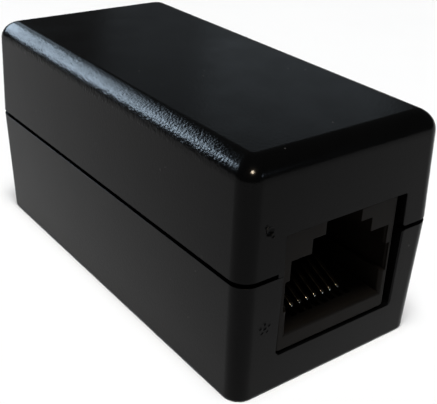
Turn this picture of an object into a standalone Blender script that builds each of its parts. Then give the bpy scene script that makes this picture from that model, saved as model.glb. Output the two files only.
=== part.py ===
"""In-line network coupler: two moulded half shells round two eight-contact sockets on one board.

Metres, +Z up. The origin is at the middle of the underside, +Y runs from the near port to the far
port, and +X is to the right for someone who looks into the near port.
"""

import math

import bmesh
import bpy
from mathutils import Matrix, Vector

# Case: outside form, measured at the parting line
CASE_WIDTH = 0.0240
CASE_LENGTH = 0.0490
LOWER_HEIGHT = 0.0130
UPPER_HEIGHT = 0.0113
LOWER_DRAFT_DEG = 1.6
UPPER_DRAFT_DEG = 1.4
CORNER_RADIUS = 0.00175
TOP_EDGE_RADIUS = 0.0021
BOTTOM_EDGE_RADIUS = 0.0003

# Case: walls and the joint between the shells
SIDE_WALL = 0.0016
END_WALL = 0.0020
FLOOR_WALL = 0.0014
ROOF_WALL = 0.0016
INNER_RADIUS = 0.0007
GROOVE_HEIGHT = 0.00047
GROOVE_DEPTH = 0.0009
LIP_HEIGHT = 0.0014
LIP_GAP = 0.0002
SEAT_GAP = 0.0003
WINDOW_NEAR_GAP = 0.0002
WINDOW_FAR_GAP = 0.00075
WINDOW_TOP_GAP = 0.0002
WINDOW_BOTTOM_GAP = 0.0002

# Snap hooks of the upper shell, which catch in pockets of the lower one
HOOK_WIDTH = 0.0040
HOOK_THICKNESS = 0.0012
HOOK_OFFSET = 0.0125
HOOK_ROOT_HEIGHT = 0.0043
HOOK_BARB = 0.0007
BARB_LAND = 0.0004
BARB_LEAD = 0.0011
CATCH_DROP = 0.0020

# Ribs of the upper shell, which hold the jacks and the board down
RIB_THICKNESS = 0.0012
FRONT_RIB_DEPTH = 0.0056
LEG_RIB_DEPTH = 0.0175
LEG_CLEARANCE = 0.0006

# Circuit board, its pads and pins
BOARD_THICKNESS = 0.0016
BOARD_CORNER = 0.0012
STANDOFF_HEIGHT = 0.0006
PAD_RADIUS = 0.0012
PIN_RADIUS = 0.0006
PIN_INSET = 0.0014
PIN_DEPTH = 0.0065
CROSS_RIB_WIDTH = 0.0160

# Jack body
JACK_WIDTH = 0.0142
JACK_HEIGHT = 0.0125
JACK_SPACING = 0.0082
JACK_RECESS = 0.0004
JACK_EDGE_RADIUS = 0.0003
MOUTH_RADIUS = 0.00045
PLUG_WIDTH = 0.0121
PLUG_HEIGHT = 0.0076
PLUG_FLOOR = 0.0019
PLUG_DEPTH = 0.0136
LATCH_WIDTH = 0.0074
LATCH_HEIGHT = 0.00155
LEVER_WIDTH = 0.0044
LATCH_LEDGE = 0.0015
LATCH_REACH = 0.0096
LATCH_RELIEF = 0.0002
SIDE_GROOVE_DEPTH = 0.0005
SIDE_GROOVE_LOW = 0.0025
SIDE_GROOVE_HIGH = 0.00555
SILL_DEPTH = 0.0016
SLOT_FLOOR = 0.00045
REAR_WALL = 0.0010
PEG_RADIUS = 0.0013
PEG_X = 0.0053
PEG_DEPTH = 0.0090

# Contact springs and the comb that locks them
CONTACT_COUNT = 8
CONTACT_PITCH = 0.001016
WIRE_WIDTH = 0.00042
WIRE_THICKNESS = 0.00030
SLOT_WIDTH = 0.00066
RUN_HEIGHT = 0.0008
BEND_RADIUS = 0.0006
BEND_SETBACK = 0.0031
SPRING_LENGTH = 0.0066
SPRING_ANGLE_DEG = 25.0
LEG_BEND_RADIUS = 0.0004
TAIL_LENGTH = 0.0006
TAIL_DEPTH = 0.0162
TAIL_STAGGER = 0.00254
TAIL_HOLE_RADIUS = 0.00045
COMB_MARGIN = 0.0009
COMB_HEIGHT = 0.0060
COMB_RAIL_HEIGHT = 0.0012
COMB_RAIL_DEPTH = 0.0006
COMB_RAIL_RISE = 0.0030

# How far a cut passes a face, and how far a rib runs into the wall that carries it
CUT_PAST = 0.0005
ROOT = 0.0005
CORNER_STEPS = 6
EDGE_STEPS = 6
ROUND_STEPS = 16
LEG_STEPS = 4
BEND_STEPS = 10
MOUTH_STEPS = 4
SHARP_DEG = 35

# Heights and distances that follow from the sizes above
TOTAL_HEIGHT = LOWER_HEIGHT + UPPER_HEIGHT
LOWER_SLOPE = math.tan(math.radians(LOWER_DRAFT_DEG))
UPPER_SLOPE = math.tan(math.radians(UPPER_DRAFT_DEG))
HALF_WIDTH = CASE_WIDTH / 2
HALF_LENGTH = CASE_LENGTH / 2
INNER_X = HALF_WIDTH - SIDE_WALL
INNER_Y = HALF_LENGTH - END_WALL
LOWER_RIM = LOWER_HEIGHT - GROOVE_HEIGHT / 2
UPPER_RIM = LOWER_HEIGHT + GROOVE_HEIGHT / 2
LIP_TOP = LOWER_HEIGHT + LIP_HEIGHT
LIP_SEAT = LIP_TOP + SEAT_GAP
ROOF = TOTAL_HEIGHT - ROOF_WALL
BOARD_BOTTOM = FLOOR_WALL + STANDOFF_HEIGHT + SEAT_GAP
BOARD_TOP = BOARD_BOTTOM + BOARD_THICKNESS
BOARD_INSET = (LOWER_HEIGHT - BOARD_BOTTOM) * LOWER_SLOPE + SEAT_GAP
BOARD_HALF_X = INNER_X - BOARD_INSET
BOARD_HALF_Y = INNER_Y - BOARD_INSET
PIN_X = BOARD_HALF_X - PIN_INSET
JACK_BOTTOM = BOARD_TOP + SEAT_GAP
JACK_TOP = JACK_BOTTOM + JACK_HEIGHT
HOLD_DOWN = JACK_TOP + SEAT_GAP
WINDOW_NEAR = JACK_WIDTH / 2 + WINDOW_NEAR_GAP
WINDOW_FAR = JACK_WIDTH / 2 + WINDOW_FAR_GAP
WINDOW_LOW = JACK_BOTTOM - WINDOW_BOTTOM_GAP
WINDOW_HIGH = JACK_TOP + WINDOW_TOP_GAP
BARB_TOP = LOWER_HEIGHT - CATCH_DROP
BARB_BOTTOM = BARB_TOP - BARB_LAND - BARB_LEAD
HOOK_OUTER = INNER_X - SEAT_GAP
HOOK_INNER = HOOK_OUTER - HOOK_THICKNESS

# The port's own frame: y runs in from the end face, z runs up from the underside of the jack
JACK_END = HALF_LENGTH - JACK_SPACING / 2
PLUG_END = JACK_RECESS + PLUG_DEPTH
PLUG_TOP = PLUG_FLOOR + PLUG_HEIGHT
POCKET_START = PLUG_END + REAR_WALL
COMB_HALF = (CONTACT_COUNT - 1) * CONTACT_PITCH / 2 + COMB_MARGIN
COMB_START = POCKET_START + SEAT_GAP
SLOT_TOP = RUN_HEIGHT + WIRE_THICKNESS / 2 + SEAT_GAP
TAIL_TIP = -(SEAT_GAP + BOARD_THICKNESS + TAIL_LENGTH)


def clear_scene():
    """Remove whatever objects the open file holds."""
    for item in list(bpy.data.objects):
        bpy.data.objects.remove(item, do_unlink=True)


def make_material(name, colour, roughness, metallic=0.0):
    """A plain finish for one kind of piece."""
    finish = bpy.data.materials.new(name)
    finish.use_nodes = True
    shader = finish.node_tree.nodes["Principled BSDF"]
    shader.inputs["Base Color"].default_value = (*colour, 1.0)
    shader.inputs["Roughness"].default_value = roughness
    shader.inputs["Metallic"].default_value = metallic
    finish.diffuse_color = (*colour, 1.0)
    return finish


def make_object(name, bm, finish=None):
    """Turn a closed mesh into an object, with its faces pointing out."""
    bmesh.ops.recalc_face_normals(bm, faces=bm.faces)
    mesh = bpy.data.meshes.new(name)
    bm.to_mesh(mesh)
    bm.free()
    if finish:
        mesh.materials.append(finish)
    item = bpy.data.objects.new(name, mesh)
    bpy.context.collection.objects.link(item)
    return item


def combine(target, operation, name, bm):
    """Join a mesh to the target or cut it away, through a Boolean that keeps a wire guide."""
    guide = make_object(name, bm)
    guide.hide_render = True
    guide.display_type = "WIRE"
    step = target.modifiers.new(name, "BOOLEAN")
    step.operation = operation
    step.solver = "EXACT"
    step.object = guide


def shade(item):
    """Smooth the round faces and keep the real corners sharp."""
    item.data.shade_smooth()
    item.data.set_sharp_from_angle(angle=math.radians(SHARP_DEG))


def add_box(bm, low, high):
    """A block between two corners."""
    low = Vector(low)
    high = Vector(high)
    place = Matrix.Translation((low + high) / 2) @ Matrix.Diagonal((*(high - low), 1))
    bmesh.ops.create_cube(bm, size=1, matrix=place)


def add_post(bm, x, y, low, high, radius):
    """An upright round post."""
    place = Matrix.Translation((x, y, (low + high) / 2))
    bmesh.ops.create_cone(
        bm, cap_ends=True, segments=ROUND_STEPS, radius1=radius, radius2=radius,
        depth=high - low, matrix=place)


def add_loft(bm, rings):
    """Skin a stack of rings that have equal point counts, and close both ends."""
    loops = [[bm.verts.new(point) for point in ring] for ring in rings]
    for lower, upper in zip(loops, loops[1:]):
        for index in range(len(lower)):
            after = (index + 1) % len(lower)
            bm.faces.new((lower[index], lower[after], upper[after], upper[index]))
    bm.faces.new(loops[0][::-1])
    bm.faces.new(loops[-1])


def add_profile(bm, outline, start, end):
    """Extrude an outline in X and Z along Y."""
    add_loft(bm, [[Vector((x, y, z)) for x, z in outline] for y in (start, end)])


def rounded_ring(half_x, half_y, radius, z):
    """A level rectangle with round corners."""
    ring = []
    for quarter, (side_x, side_y) in enumerate(((1, 1), (-1, 1), (-1, -1), (1, -1))):
        for step in range(CORNER_STEPS + 1):
            angle = math.radians(90 * (quarter + step / CORNER_STEPS))
            x = side_x * (half_x - radius) + radius * math.cos(angle)
            y = side_y * (half_y - radius) + radius * math.sin(angle)
            ring.append(Vector((x, y, z)))
    return ring


def add_moulded_block(bm, half_x, half_y, base, tip, slope, corner, edge):
    """A block that narrows by its draft from base to tip and has a rounded rim at the tip."""
    up = 1 if tip > base else -1
    rings = [rounded_ring(half_x, half_y, corner, base)]
    lean = (abs(tip - base) - edge) * slope
    least = min(corner, edge) / 4
    for step in range(EDGE_STEPS + 1):
        turn = math.radians(90 * step / EDGE_STEPS)
        share = 1 - math.cos(turn)
        inset = lean + edge * share
        radius = corner - (corner - least) * share
        z = tip - up * edge * (1 - math.sin(turn))
        rings.append(rounded_ring(half_x - inset, half_y - inset, radius, z))
    add_loft(bm, rings)


def mirrored(right):
    """Close an outline whose right side is given, with the same points on the left."""
    return right + [(-x, z) for x, z in reversed(right)]


def add_mirrored_profiles(bm, outline, centres, width):
    """Extrude an outline of the right side, and its mirror image, at each place along Y."""
    mirrored = [(-x, z) for x, z in reversed(outline)]
    for centre in centres:
        add_profile(bm, outline, centre - width / 2, centre + width / 2)
        add_profile(bm, mirrored, centre - width / 2, centre + width / 2)


def both_ends(depth):
    """The two places along Y that lie the same depth behind the end faces."""
    return (depth - HALF_LENGTH, HALF_LENGTH - depth)


def port_windows():
    """Blocks that cut a window through both end walls; the jack sits to the left in each."""
    bm = bmesh.new()
    for end in (-1, 1):
        faces = sorted((end * (HALF_LENGTH + CUT_PAST), end * (INNER_Y - CUT_PAST)))
        sides = sorted((end * WINDOW_NEAR, -end * WINDOW_FAR))
        add_box(bm, (sides[0], faces[0], WINDOW_LOW), (sides[1], faces[1], WINDOW_HIGH))
    return bm


def lip_block(gap, top):
    """The block inside the parting groove that the lower shell's lip fills."""
    bm = bmesh.new()
    half_x = HALF_WIDTH - GROOVE_DEPTH + gap
    half_y = HALF_LENGTH - GROOVE_DEPTH + gap
    corner = CORNER_RADIUS - GROOVE_DEPTH + gap
    rings = [rounded_ring(half_x, half_y, corner, z) for z in (LOWER_RIM - ROOT, top)]
    add_loft(bm, rings)
    return bm


def make_lower_shell(finish):
    """Tray with a raised lip, board pads, hook pockets and a window in each end."""
    bm = bmesh.new()
    rim_x = HALF_WIDTH - (LOWER_HEIGHT - LOWER_RIM) * LOWER_SLOPE
    rim_y = HALF_LENGTH - (LOWER_HEIGHT - LOWER_RIM) * LOWER_SLOPE
    add_moulded_block(
        bm, rim_x, rim_y, LOWER_RIM, 0, LOWER_SLOPE, CORNER_RADIUS, BOTTOM_EDGE_RADIUS)
    shell = make_object("lower_shell", bm, finish)
    combine(shell, "UNION", "lower_lip", lip_block(0, LIP_TOP))

    hollow = bmesh.new()
    inset = (LIP_TOP + CUT_PAST - LOWER_HEIGHT) * LOWER_SLOPE
    add_moulded_block(
        hollow, INNER_X + inset, INNER_Y + inset, LIP_TOP + CUT_PAST, FLOOR_WALL, LOWER_SLOPE,
        INNER_RADIUS, INNER_RADIUS)
    combine(shell, "DIFFERENCE", "lower_hollow", hollow)

    pads = bmesh.new()
    for x in (-PIN_X, PIN_X):
        for y in both_ends(PIN_DEPTH):
            add_post(pads, x, y, FLOOR_WALL - ROOT, FLOOR_WALL + STANDOFF_HEIGHT, PAD_RADIUS)
    low = (-CROSS_RIB_WIDTH / 2, -RIB_THICKNESS / 2, FLOOR_WALL - ROOT)
    high = (CROSS_RIB_WIDTH / 2, RIB_THICKNESS / 2, FLOOR_WALL + STANDOFF_HEIGHT)
    add_box(pads, low, high)
    combine(shell, "UNION", "board_pads", pads)

    pins = bmesh.new()
    for x in (-PIN_X, PIN_X):
        for y in both_ends(PIN_DEPTH):
            add_post(pins, x, y, FLOOR_WALL, BOARD_TOP, PIN_RADIUS)
    combine(shell, "UNION", "board_pins", pins)

    pockets = bmesh.new()
    half_width = HOOK_WIDTH / 2 + SEAT_GAP
    bottom = BARB_BOTTOM - SEAT_GAP
    top = BARB_TOP + SEAT_GAP
    reach = HOOK_OUTER + HOOK_BARB + SEAT_GAP
    for side in (-1, 1):
        faces = sorted((side * (INNER_X - CUT_PAST), side * reach))
        for y in (-HOOK_OFFSET, HOOK_OFFSET):
            add_box(
                pockets, (faces[0], y - half_width, bottom), (faces[1], y + half_width, top))
    combine(shell, "DIFFERENCE", "hook_pockets", pockets)
    combine(shell, "DIFFERENCE", "lower_windows", port_windows())
    shade(shell)


def hook_outline():
    """Side view of the right-hand snap hook, from its barb up to its root in the wall."""
    return [
        (HOOK_INNER, BARB_BOTTOM),
        (HOOK_OUTER, BARB_BOTTOM),
        (HOOK_OUTER + HOOK_BARB, BARB_TOP - BARB_LAND),
        (HOOK_OUTER + HOOK_BARB, BARB_TOP),
        (HOOK_OUTER, BARB_TOP),
        (HOOK_OUTER, LIP_SEAT),
        (INNER_X + ROOT, LIP_SEAT),
        (INNER_X + ROOT, LIP_SEAT + HOOK_ROOT_HEIGHT),
        (HOOK_INNER, LIP_SEAT + HOOK_ROOT_HEIGHT),
    ]


def leg_rib_outline():
    """A cross wall that bridges the jack and stands beside it on the board."""
    straddle = JACK_WIDTH / 2 + SEAT_GAP
    right = [
        (straddle, HOLD_DOWN),
        (straddle, BOARD_TOP + SEAT_GAP),
        (INNER_X - LEG_CLEARANCE, BOARD_TOP + SEAT_GAP),
        (INNER_X - LEG_CLEARANCE, LIP_SEAT),
        (INNER_X + ROOT, LIP_SEAT),
        (INNER_X + ROOT, ROOF + ROOT),
    ]
    return mirrored(right)


def make_upper_shell(finish):
    """Cover with a rebated rim, round top edges, cross ribs, snap hooks and two windows."""
    bm = bmesh.new()
    rim_x = HALF_WIDTH - (UPPER_RIM - LOWER_HEIGHT) * UPPER_SLOPE
    rim_y = HALF_LENGTH - (UPPER_RIM - LOWER_HEIGHT) * UPPER_SLOPE
    add_moulded_block(
        bm, rim_x, rim_y, UPPER_RIM, TOTAL_HEIGHT, UPPER_SLOPE, CORNER_RADIUS, TOP_EDGE_RADIUS)
    shell = make_object("upper_shell", bm, finish)

    hollow = bmesh.new()
    inset = (LOWER_HEIGHT - UPPER_RIM + CUT_PAST) * UPPER_SLOPE
    add_moulded_block(
        hollow, INNER_X + inset, INNER_Y + inset, UPPER_RIM - CUT_PAST, ROOF, UPPER_SLOPE,
        INNER_RADIUS, INNER_RADIUS)
    combine(shell, "DIFFERENCE", "upper_hollow", hollow)
    combine(shell, "DIFFERENCE", "rim_rebate", lip_block(LIP_GAP, LIP_SEAT))

    ribs = bmesh.new()
    for y in both_ends(FRONT_RIB_DEPTH):
        low = (-INNER_X - ROOT, y - RIB_THICKNESS / 2, HOLD_DOWN)
        high = (INNER_X + ROOT, y + RIB_THICKNESS / 2, ROOF + ROOT)
        add_box(ribs, low, high)
    for y in both_ends(LEG_RIB_DEPTH):
        add_profile(ribs, leg_rib_outline(), y - RIB_THICKNESS / 2, y + RIB_THICKNESS / 2)
    combine(shell, "UNION", "hold_down_ribs", ribs)

    hooks = bmesh.new()
    add_mirrored_profiles(hooks, hook_outline(), (-HOOK_OFFSET, HOOK_OFFSET), HOOK_WIDTH)
    combine(shell, "UNION", "snap_hooks", hooks)
    combine(shell, "DIFFERENCE", "upper_windows", port_windows())
    shade(shell)


def contact_places():
    """Each contact's place across the port and its tail's depth behind the end face."""
    middle = (CONTACT_COUNT - 1) / 2
    return [
        ((index - middle) * CONTACT_PITCH, TAIL_DEPTH + index % 2 * TAIL_STAGGER)
        for index in range(CONTACT_COUNT)
    ]


def make_board(finish, ports):
    """Board with holes for the shell's pins, the jacks' pegs and the contacts' tails."""
    bm = bmesh.new()
    levels = (BOARD_BOTTOM, BOARD_TOP)
    add_loft(bm, [rounded_ring(BOARD_HALF_X, BOARD_HALF_Y, BOARD_CORNER, z) for z in levels])
    board = make_object("circuit_board", bm, finish)

    holes = bmesh.new()
    low = BOARD_BOTTOM - CUT_PAST
    high = BOARD_TOP + CUT_PAST
    for x in (-PIN_X, PIN_X):
        for y in both_ends(PIN_DEPTH):
            add_post(holes, x, y, low, high, PIN_RADIUS + SEAT_GAP)
    for port in ports:
        for x in (-PEG_X, PEG_X):
            peg = port @ Vector((x, PEG_DEPTH, 0))
            add_post(holes, peg.x, peg.y, low, high, PEG_RADIUS + SEAT_GAP)
        for x, depth in contact_places():
            tail = port @ Vector((x, depth, 0))
            add_post(holes, tail.x, tail.y, low, high, TAIL_HOLE_RADIUS)
    combine(board, "DIFFERENCE", "board_holes", holes)
    shade(board)


def plug_outline(flare):
    """The plug opening, with a groove along each side wall, flared below the grooves."""
    wall = PLUG_WIDTH / 2
    grooved = wall + SIDE_GROOVE_DEPTH
    return mirrored([
        (wall + flare, PLUG_FLOOR - flare),
        (wall + flare, PLUG_FLOOR + SIDE_GROOVE_LOW),
        (grooved, PLUG_FLOOR + SIDE_GROOVE_LOW),
        (grooved, PLUG_FLOOR + SIDE_GROOVE_HIGH),
        (wall, PLUG_FLOOR + SIDE_GROOVE_HIGH),
        (wall, PLUG_TOP),
    ])


def plug_rings():
    """Sections of the plug opening, from its rounded mouth in to its end."""
    rings = [(JACK_RECESS - CUT_PAST, MOUTH_RADIUS)]
    for step in range(MOUTH_STEPS + 1):
        turn = math.radians(90 * step / MOUTH_STEPS)
        depth = JACK_RECESS + MOUTH_RADIUS * (1 - math.cos(turn))
        rings.append((depth, MOUTH_RADIUS * (1 - math.sin(turn))))
    rings.append((PLUG_END, 0))
    return [[Vector((x, y, z)) for x, z in plug_outline(flare)] for y, flare in rings]


def latch_outline():
    """The two-step latch notch over the plug opening, which is open at the top of the jack."""
    return mirrored([
        (LATCH_WIDTH / 2, PLUG_TOP - CUT_PAST),
        (LATCH_WIDTH / 2, PLUG_TOP + LATCH_HEIGHT),
        (LEVER_WIDTH / 2, PLUG_TOP + LATCH_HEIGHT),
        (LEVER_WIDTH / 2, JACK_HEIGHT + CUT_PAST),
    ])


def comb_outline(gap, bottom):
    """End view of the comb, with a rail on each side; the gap makes it the pocket for the comb."""
    side = COMB_HALF + gap
    rail = side + COMB_RAIL_DEPTH
    return mirrored([
        (side, bottom),
        (side, COMB_RAIL_RISE - gap),
        (rail, COMB_RAIL_RISE - gap),
        (rail, COMB_RAIL_RISE + COMB_RAIL_HEIGHT + gap),
        (side, COMB_RAIL_RISE + COMB_RAIL_HEIGHT + gap),
        (side, COMB_HEIGHT + gap),
    ])


def make_jack_body(finish):
    """One moulded jack in the port's frame: opening, latch notch, wire slots and comb pocket."""
    bm = bmesh.new()
    half = JACK_WIDTH / 2
    add_box(bm, (-half, JACK_RECESS, 0), (half, JACK_END, JACK_HEIGHT))
    long_edges = [edge for edge in bm.edges if abs(edge.verts[0].co.y - edge.verts[1].co.y) > half]
    bmesh.ops.bevel(
        bm, geom=long_edges, offset=JACK_EDGE_RADIUS, segments=2, profile=0.5, affect="EDGES")
    jack = make_object("front_jack_body", bm, finish)

    plug = bmesh.new()
    add_loft(plug, plug_rings())
    combine(jack, "DIFFERENCE", "plug_opening", plug)

    ledge = JACK_RECESS + LATCH_LEDGE
    notch = bmesh.new()
    add_profile(notch, latch_outline(), JACK_RECESS - CUT_PAST, ledge + CUT_PAST)
    combine(jack, "DIFFERENCE", "latch_notch", notch)

    chamber = bmesh.new()
    side = LATCH_WIDTH / 2 + LATCH_RELIEF
    low = (-side, ledge, PLUG_TOP - CUT_PAST)
    add_box(chamber, low, (side, JACK_RECESS + LATCH_REACH, JACK_HEIGHT + CUT_PAST))
    combine(jack, "DIFFERENCE", "latch_chamber", chamber)

    slots = bmesh.new()
    for x, _ in contact_places():
        low = (x - SLOT_WIDTH / 2, JACK_RECESS + SILL_DEPTH, SLOT_FLOOR)
        high = (x + SLOT_WIDTH / 2, POCKET_START + CUT_PAST, PLUG_FLOOR + CUT_PAST / 2)
        add_box(slots, low, high)
    combine(jack, "DIFFERENCE", "wire_slots", slots)

    pocket = bmesh.new()
    add_profile(pocket, comb_outline(SEAT_GAP, -CUT_PAST), POCKET_START, JACK_END + CUT_PAST)
    combine(jack, "DIFFERENCE", "comb_pocket", pocket)

    pegs = bmesh.new()
    for x in (-PEG_X, PEG_X):
        add_post(pegs, x, PEG_DEPTH, -SEAT_GAP - BOARD_THICKNESS, ROOT, PEG_RADIUS)
    combine(jack, "UNION", "board_pegs", pegs)
    shade(jack)
    return jack


def make_comb(finish):
    """The block behind the plug opening that traps the contact wires in its channels."""
    bm = bmesh.new()
    add_profile(bm, comb_outline(0, 0), COMB_START, JACK_END)
    comb = make_object("front_contact_comb", bm, finish)

    channels = bmesh.new()
    for x, depth in contact_places():
        low = (x - SLOT_WIDTH / 2, COMB_START - CUT_PAST, -CUT_PAST)
        end = depth + WIRE_THICKNESS / 2 + SEAT_GAP
        add_box(channels, low, (x + SLOT_WIDTH / 2, end, SLOT_TOP))
    combine(comb, "DIFFERENCE", "wire_channels", channels)
    return comb


def arc(centre, radius, first, last, steps):
    """Points along an arc in Y and Z, between two angles in degrees."""
    turns = [math.radians(first + (last - first) * step / steps) for step in range(steps + 1)]
    return [centre + radius * Vector((math.cos(turn), math.sin(turn))) for turn in turns]


def contact_path(tail_depth):
    """Middle line of one contact: tail, level run, front bend and the spring that rises."""
    bend = Vector((JACK_RECESS + BEND_SETBACK + BEND_RADIUS, RUN_HEIGHT + BEND_RADIUS))
    leg = Vector((tail_depth - LEG_BEND_RADIUS, RUN_HEIGHT - LEG_BEND_RADIUS))
    path = [Vector((tail_depth, TAIL_TIP))]
    path += arc(leg, LEG_BEND_RADIUS, 0, 90, LEG_STEPS)
    path += arc(bend, BEND_RADIUS, -90, SPRING_ANGLE_DEG - 270, BEND_STEPS)
    rise = math.radians(SPRING_ANGLE_DEG)
    path.append(path[-1] + SPRING_LENGTH * Vector((math.cos(rise), math.sin(rise))))
    return path


def make_contact_mesh(name, tail_depth, finish):
    """A flat wire swept along the contact's middle line."""
    path = contact_path(tail_depth)
    rings = []
    for index, point in enumerate(path):
        before = path[max(index - 1, 0)]
        after = path[min(index + 1, len(path) - 1)]
        along = (after - before).normalized()
        across = Vector((-along.y, along.x)) * WIRE_THICKNESS / 2
        corners = ((-1, -1), (1, -1), (1, 1), (-1, 1))
        ring = []
        for side, face in corners:
            spot = point + face * across
            ring.append(Vector((side * WIRE_WIDTH / 2, spot.x, spot.y)))
        rings.append(ring)
    bm = bmesh.new()
    add_loft(bm, rings)
    contact = make_object(name, bm, finish)
    shade(contact)
    return contact


def copy_object(source, name):
    """A copy that shares its mesh and repeats its modifiers."""
    item = source.copy()
    item.name = name
    bpy.context.collection.objects.link(item)
    return item


def make_port_frames():
    """One empty at each end face, which its jack, comb and contacts hang from."""
    frames = []
    for name, end, turn in (("front_port", -1, 0), ("rear_port", 1, math.pi)):
        frame = bpy.data.objects.new(name, None)
        frame.location = (0, end * HALF_LENGTH, JACK_BOTTOM)
        frame.rotation_euler = (0, 0, turn)
        bpy.context.collection.objects.link(frame)
        frames.append(frame)
    return frames


def fill_ports(frames, jack_finish, comb_finish, contact_finish):
    """Put a jack, a comb and its contacts in each port."""
    jack = make_jack_body(jack_finish)
    comb = make_comb(comb_finish)
    guides = [step.object for piece in (jack, comb) for step in piece.modifiers]
    front, rear = frames
    jack.parent = front
    comb.parent = front
    for guide in guides:
        guide.parent = front
    for piece, name in ((jack, "rear_jack_body"), (comb, "rear_contact_comb")):
        copy = copy_object(piece, name)
        copy.parent = rear
        for step in copy.modifiers:
            twin = copy_object(step.object, "rear_" + step.object.name)
            twin.parent = rear
            step.object = twin
    for number, (x, depth) in enumerate(contact_places(), 1):
        contact = make_contact_mesh(f"front_contact_{number}", depth, contact_finish)
        contact.location.x = x
        contact.parent = front
        copy_object(contact, f"rear_contact_{number}").parent = rear


def main():
    clear_scene()
    case_finish = make_material("black_case_plastic", (0.022, 0.024, 0.027), 0.42)
    jack_finish = make_material("black_jack_plastic", (0.018, 0.018, 0.019), 0.36)
    comb_finish = make_material("dark_comb_plastic", (0.030, 0.030, 0.032), 0.50)
    gold_finish = make_material("gold_plated_bronze", (0.90, 0.66, 0.26), 0.22, 1.0)
    board_finish = make_material("green_board", (0.020, 0.110, 0.045), 0.45)
    frames = make_port_frames()
    bpy.context.view_layer.update()
    make_lower_shell(case_finish)
    make_upper_shell(case_finish)
    make_board(board_finish, [frame.matrix_world.copy() for frame in frames])
    fill_ports(frames, jack_finish, comb_finish, gold_finish)


main()
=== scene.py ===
"""A black in-line network coupler on a pale table: moulded shells round a socket at each end."""

import math

import bmesh
import bpy
from mathutils import Matrix, Vector


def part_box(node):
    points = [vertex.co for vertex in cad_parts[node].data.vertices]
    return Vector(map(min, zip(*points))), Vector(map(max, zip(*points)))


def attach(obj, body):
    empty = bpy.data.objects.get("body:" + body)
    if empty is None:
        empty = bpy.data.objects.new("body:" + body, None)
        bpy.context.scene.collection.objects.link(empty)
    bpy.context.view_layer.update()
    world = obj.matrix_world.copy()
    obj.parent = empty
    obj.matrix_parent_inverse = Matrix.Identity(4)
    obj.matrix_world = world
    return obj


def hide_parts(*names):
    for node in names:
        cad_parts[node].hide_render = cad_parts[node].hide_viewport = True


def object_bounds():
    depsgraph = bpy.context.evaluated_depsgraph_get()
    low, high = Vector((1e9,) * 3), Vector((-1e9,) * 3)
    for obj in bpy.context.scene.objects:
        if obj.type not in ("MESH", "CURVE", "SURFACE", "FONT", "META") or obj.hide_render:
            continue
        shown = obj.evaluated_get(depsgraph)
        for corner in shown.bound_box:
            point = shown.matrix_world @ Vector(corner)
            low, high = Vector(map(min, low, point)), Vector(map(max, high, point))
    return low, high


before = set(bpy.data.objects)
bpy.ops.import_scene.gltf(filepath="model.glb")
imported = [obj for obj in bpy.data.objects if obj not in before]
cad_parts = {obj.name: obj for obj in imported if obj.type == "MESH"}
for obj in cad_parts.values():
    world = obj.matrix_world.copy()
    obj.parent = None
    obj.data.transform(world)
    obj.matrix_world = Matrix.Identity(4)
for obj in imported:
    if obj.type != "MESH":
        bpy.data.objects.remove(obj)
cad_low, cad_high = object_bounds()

# Lower shell: the bottom half of the case, an injection-moulded tray of black ABS.
# Its walls lean in by the mould's draft. A lip inside the parting groove guides the cover
# on, pins and pads in the floor hold the board, and four pockets catch the cover's hooks.
CASE_WIDTH = 0.0240
CASE_LENGTH = 0.0490
PARTING = 0.0130
LOWER_DRAFT = math.tan(math.radians(1.6))
CORNER_RADIUS = 0.00175
LEAST_CORNER = 0.25
BOTTOM_EDGE = 0.0003
RIM_EDGE = 0.00001
SIDE_WALL = 0.0016
END_WALL = 0.0020
FLOOR_WALL = 0.0014
INNER_RADIUS = 0.0007
GROOVE_HEIGHT = 0.00047
GROOVE_DEPTH = 0.0009
SEAT_GAP = 0.0003
CUT_PAST = 0.0005
CORNER_STEPS = 14
EDGE_STEPS = 12
SMALL_STEPS = 4
POST_STEPS = 32
SHARP_ANGLE = math.radians(32)
WELD = 1e-7
FLAT_WEIGHT = 100

CASE_TOP = cad_high.z
HALF_WIDTH = CASE_WIDTH / 2
HALF_LENGTH = CASE_LENGTH / 2
INNER_X = HALF_WIDTH - SIDE_WALL
INNER_Y = HALF_LENGTH - END_WALL
LOWER_RIM = PARTING - GROOVE_HEIGHT / 2
LIP_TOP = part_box("lower_shell")[1].z
BOARD_LOW, BOARD_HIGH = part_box("circuit_board")
JACK_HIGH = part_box("front_jack_body")[1]
JACK_BOTTOM = BOARD_HIGH.z + SEAT_GAP
JACK_HALF = JACK_HIGH.x

# The jack sits to the left in its window, so the gap on its right is the wide one.
NARROW_GAP = 0.00008
WIDE_GAP = 0.00075
FOOT_GAP = 0.0002
WINDOW_NEAR = JACK_HALF + NARROW_GAP
WINDOW_FAR = JACK_HALF + WIDE_GAP
WINDOW_LOW = JACK_BOTTOM - FOOT_GAP
WINDOW_HIGH = JACK_HIGH.z + NARROW_GAP
WINDOW_STUB_RADIUS = 0.0003
LOWER_WINDOW_CORNER = 0.0005
UPPER_WINDOW_CORNER = 0.00015
WINDOW_FLARE = 0.00006
LOWER_GAP_FLARE = 0.00020
LOWER_GAP_FLARE_DEPTH = 0.00010

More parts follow.
